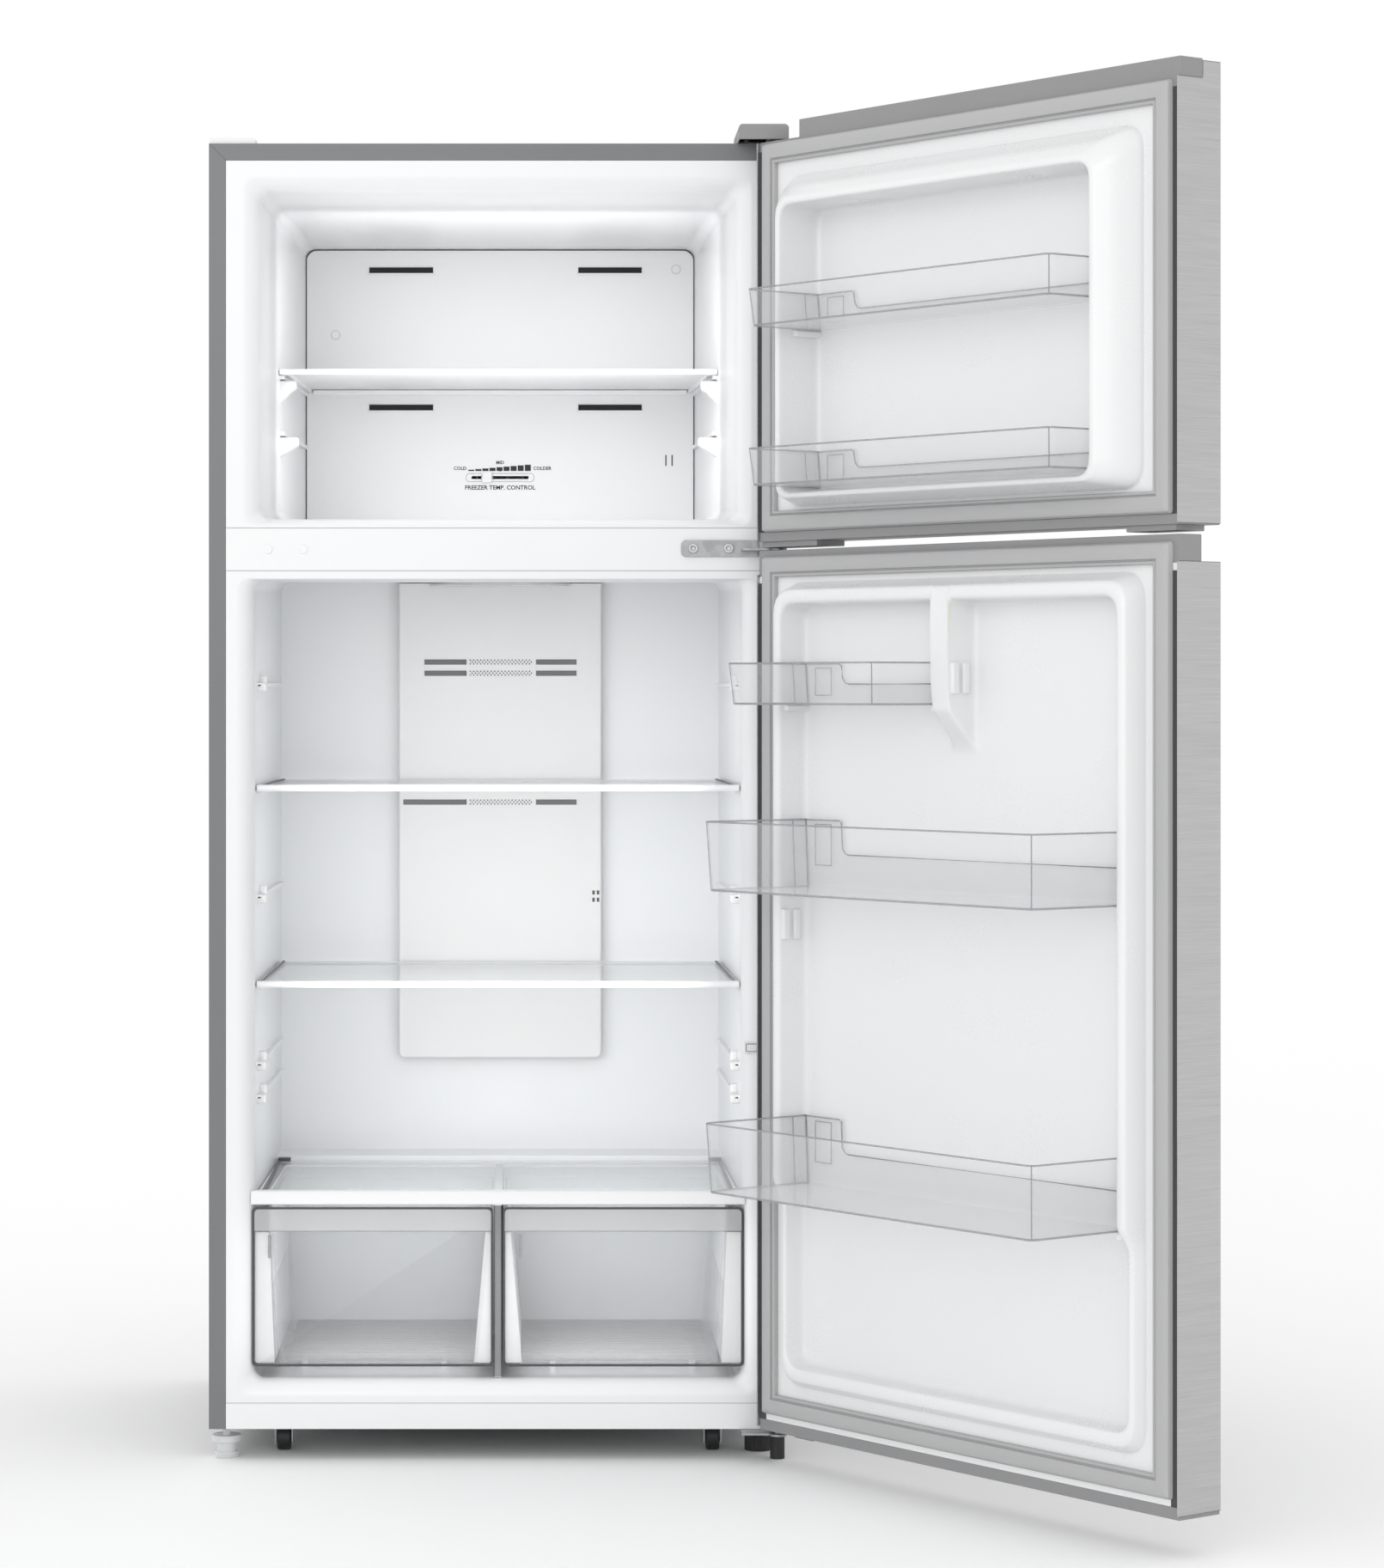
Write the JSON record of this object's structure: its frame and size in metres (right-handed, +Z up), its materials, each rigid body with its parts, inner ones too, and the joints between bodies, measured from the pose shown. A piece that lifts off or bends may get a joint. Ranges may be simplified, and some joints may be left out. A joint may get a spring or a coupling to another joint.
{
  "type": "top freezer refrigerator",
  "caption": "Top freezer refrigerator, both doors open to the right, glass shelves, two clear crispers, clear door bins, brushed steel doors and a grey cabinet",
  "frame": {"origin": "the floor point under the middle of the cabinet's footprint", "axes": "+X to the hinge side, which is the right-hand side seen from the front; -Y to the front; +Z up"},
  "size_m": [1.1857, 1.2887, 1.688],
  "materials": {
    "painted_steel": "satin grey paint on sheet steel",
    "zinc_steel": "zinc plated steel",
    "foam": "rigid polyurethane foam",
    "white_liner": "glossy white moulded plastic",
    "grey_plastic": "satin grey moulded plastic",
    "brushed_steel": "vertically brushed stainless steel",
    "gasket_rubber": "soft grey extruded seal",
    "clear_plastic": "clear moulded polystyrene",
    "tempered_glass": "clear tempered glass",
    "aluminium": "bare aluminium tube and fin",
    "black_plastic": "black moulded plastic and enamel"
  },
  "bodies": {
    "cabinet": {"cabinet_shell": "painted_steel", "rear_panel": "painted_steel", "base_pan": "zinc_steel", "cabinet_insulation": "foam", "freezer_liner": "white_liner", "fresh_food_liner": "white_liner", "mullion_cover": "white_liner", "toe_panel": "white_liner", "hole_covers": "white_liner", "freezer_back_panel": "white_liner", "fridge_air_duct": "white_liner", "lamp_lens": "clear_plastic", "evaporator_coil": "aluminium", "evaporator_fan_motor": "black_plastic", "compressor": "black_plastic", "drain_pan": "black_plastic", "condenser_coil": "zinc_steel", "compressor_cover": "painted_steel", "cord_gland": "black_plastic", "crisper_cover_glass": "tempered_glass", "crisper_cover_frame": "white_liner", "top_hinge": "zinc_steel", "top_hinge_cover": "grey_plastic", "middle_hinge": "zinc_steel", "bottom_hinge": "zinc_steel", "hinge_screws": "zinc_steel", "roller_brackets": "zinc_steel"},
    "freezer_door": {"freezer_door_skin": "brushed_steel", "freezer_door_top_cap": "grey_plastic", "freezer_door_bottom_cap": "grey_plastic", "freezer_door_foam": "foam", "freezer_door_liner": "white_liner", "freezer_door_gasket": "gasket_rubber"},
    "fridge_door": {"fridge_door_skin": "brushed_steel", "fridge_door_top_cap": "grey_plastic", "fridge_door_bottom_cap": "grey_plastic", "fridge_door_foam": "foam", "fridge_door_liner": "white_liner", "fridge_door_gasket": "gasket_rubber"},
    "upper_freezer_bin": {"freezer_upper_bin": "clear_plastic"},
    "lower_freezer_bin": {"freezer_lower_bin": "clear_plastic"},
    "half_bin": {"fridge_half_bin": "clear_plastic"},
    "middle_bin": {"fridge_middle_bin": "clear_plastic"},
    "bottom_bin": {"fridge_bottom_bin": "clear_plastic"},
    "freezer_rack": {"freezer_shelf": "white_liner"},
    "upper_shelf": {"upper_shelf_glass": "tempered_glass", "upper_shelf_frame": "grey_plastic"},
    "lower_shelf": {"lower_shelf_glass": "tempered_glass", "lower_shelf_frame": "grey_plastic"},
    "left_drawer": {"left_crisper": "clear_plastic"},
    "right_drawer": {"right_crisper": "clear_plastic"},
    "temperature_slider": {"freezer_control_slider": "grey_plastic"},
    "light_switch": {"light_switch_plunger": "white_liner"},
    "fan": {"evaporator_fan": "black_plastic"},
    "left_roller": {"front_roller_left": "black_plastic"},
    "right_roller": {"front_roller_right": "black_plastic"},
    "rear_wheels": {"rear_rollers": "black_plastic"},
    "left_levelling_foot": {"left_foot": "clear_plastic"},
    "height_wheel": {"right_foot_wheel": "black_plastic"},
    "right_levelling_foot": {"right_foot": "black_plastic"}
  },
  "joints": [
    {"name": "freezer_door_hinge", "type": "hinge", "parent": "cabinet", "child": "freezer_door", "pos_m": [0.353, -0.35, 1.42], "axis": [0, 0, 1], "range_deg": [-126.8, 3.2]},
    {"name": "fridge_door_hinge", "type": "hinge", "parent": "cabinet", "child": "fridge_door", "pos_m": [0.353, -0.35, 0.6], "axis": [0, 0, 1], "range_deg": [-126.8, 3.2]},
    {"name": "freezer_shelf_slide", "type": "slide", "parent": "cabinet", "child": "freezer_rack", "axis": [0, -1, 0], "range_m": [0, 0.22]},
    {"name": "upper_shelf_slide", "type": "slide", "parent": "cabinet", "child": "upper_shelf", "axis": [0, -1, 0], "range_m": [0, 0.25]},
    {"name": "lower_shelf_slide", "type": "slide", "parent": "cabinet", "child": "lower_shelf", "axis": [0, -1, 0], "range_m": [0, 0.25]},
    {"name": "left_crisper_slide", "type": "slide", "parent": "cabinet", "child": "left_drawer", "axis": [0, -1, 0], "range_m": [0, 0.26]},
    {"name": "right_crisper_slide", "type": "slide", "parent": "cabinet", "child": "right_drawer", "axis": [0, -1, 0], "range_m": [0, 0.26]},
    {"name": "temperature_slide", "type": "slide", "parent": "cabinet", "child": "temperature_slider", "axis": [1, 0, 0], "range_m": [-0.0175, 0.0535]},
    {"name": "light_switch_press", "type": "slide", "parent": "cabinet", "child": "light_switch", "axis": [0, 1, 0], "range_m": [0, 0.0025], "stiffness_N_per_m": 300, "springref_m": -0.001},
    {"name": "fan_spin", "type": "hinge", "parent": "cabinet", "child": "fan", "pos_m": [0, 0.158, 1.47], "axis": [0, 1, 0], "continuous": true},
    {"name": "upper_freezer_bin_lift", "type": "slide", "parent": "freezer_door", "child": "upper_freezer_bin", "axis": [0, 0, 1], "range_m": [0, 0.03]},
    {"name": "lower_freezer_bin_lift", "type": "slide", "parent": "freezer_door", "child": "lower_freezer_bin", "axis": [0, 0, 1], "range_m": [0, 0.03]},
    {"name": "half_bin_lift", "type": "slide", "parent": "fridge_door", "child": "half_bin", "axis": [0, 0, 1], "range_m": [0, 0.03]},
    {"name": "middle_bin_lift", "type": "slide", "parent": "fridge_door", "child": "middle_bin", "axis": [0, 0, 1], "range_m": [0, 0.03]},
    {"name": "bottom_bin_lift", "type": "slide", "parent": "fridge_door", "child": "bottom_bin", "axis": [0, 0, 1], "range_m": [0, 0.03]},
    {"name": "left_roller_axle", "type": "hinge", "parent": "cabinet", "child": "left_roller", "pos_m": [-0.275, -0.24, 0.0175], "axis": [1, 0, 0], "continuous": true},
    {"name": "right_roller_axle", "type": "hinge", "parent": "cabinet", "child": "right_roller", "pos_m": [0.275, -0.24, 0.0175], "axis": [1, 0, 0], "continuous": true},
    {"name": "rear_roller_axle", "type": "hinge", "parent": "cabinet", "child": "rear_wheels", "pos_m": [0, 0.28, 0.0175], "axis": [1, 0, 0], "continuous": true},
    {"name": "left_foot_turn", "type": "hinge", "parent": "cabinet", "child": "left_levelling_foot", "pos_m": [-0.3455, -0.292, 0.02], "axis": [0, 0, 1], "range_deg": [-180, 180]},
    {"name": "height_wheel_turn", "type": "hinge", "parent": "cabinet", "child": "height_wheel", "pos_m": [0.334, -0.24, 0.01], "axis": [0, 0, 1], "range_deg": [-180, 180]},
    {"name": "right_foot_turn", "type": "hinge", "parent": "cabinet", "child": "right_levelling_foot", "pos_m": [0.355, -0.302, 0.02], "axis": [0, 0, 1], "range_deg": [-180, 180]}
  ]
}
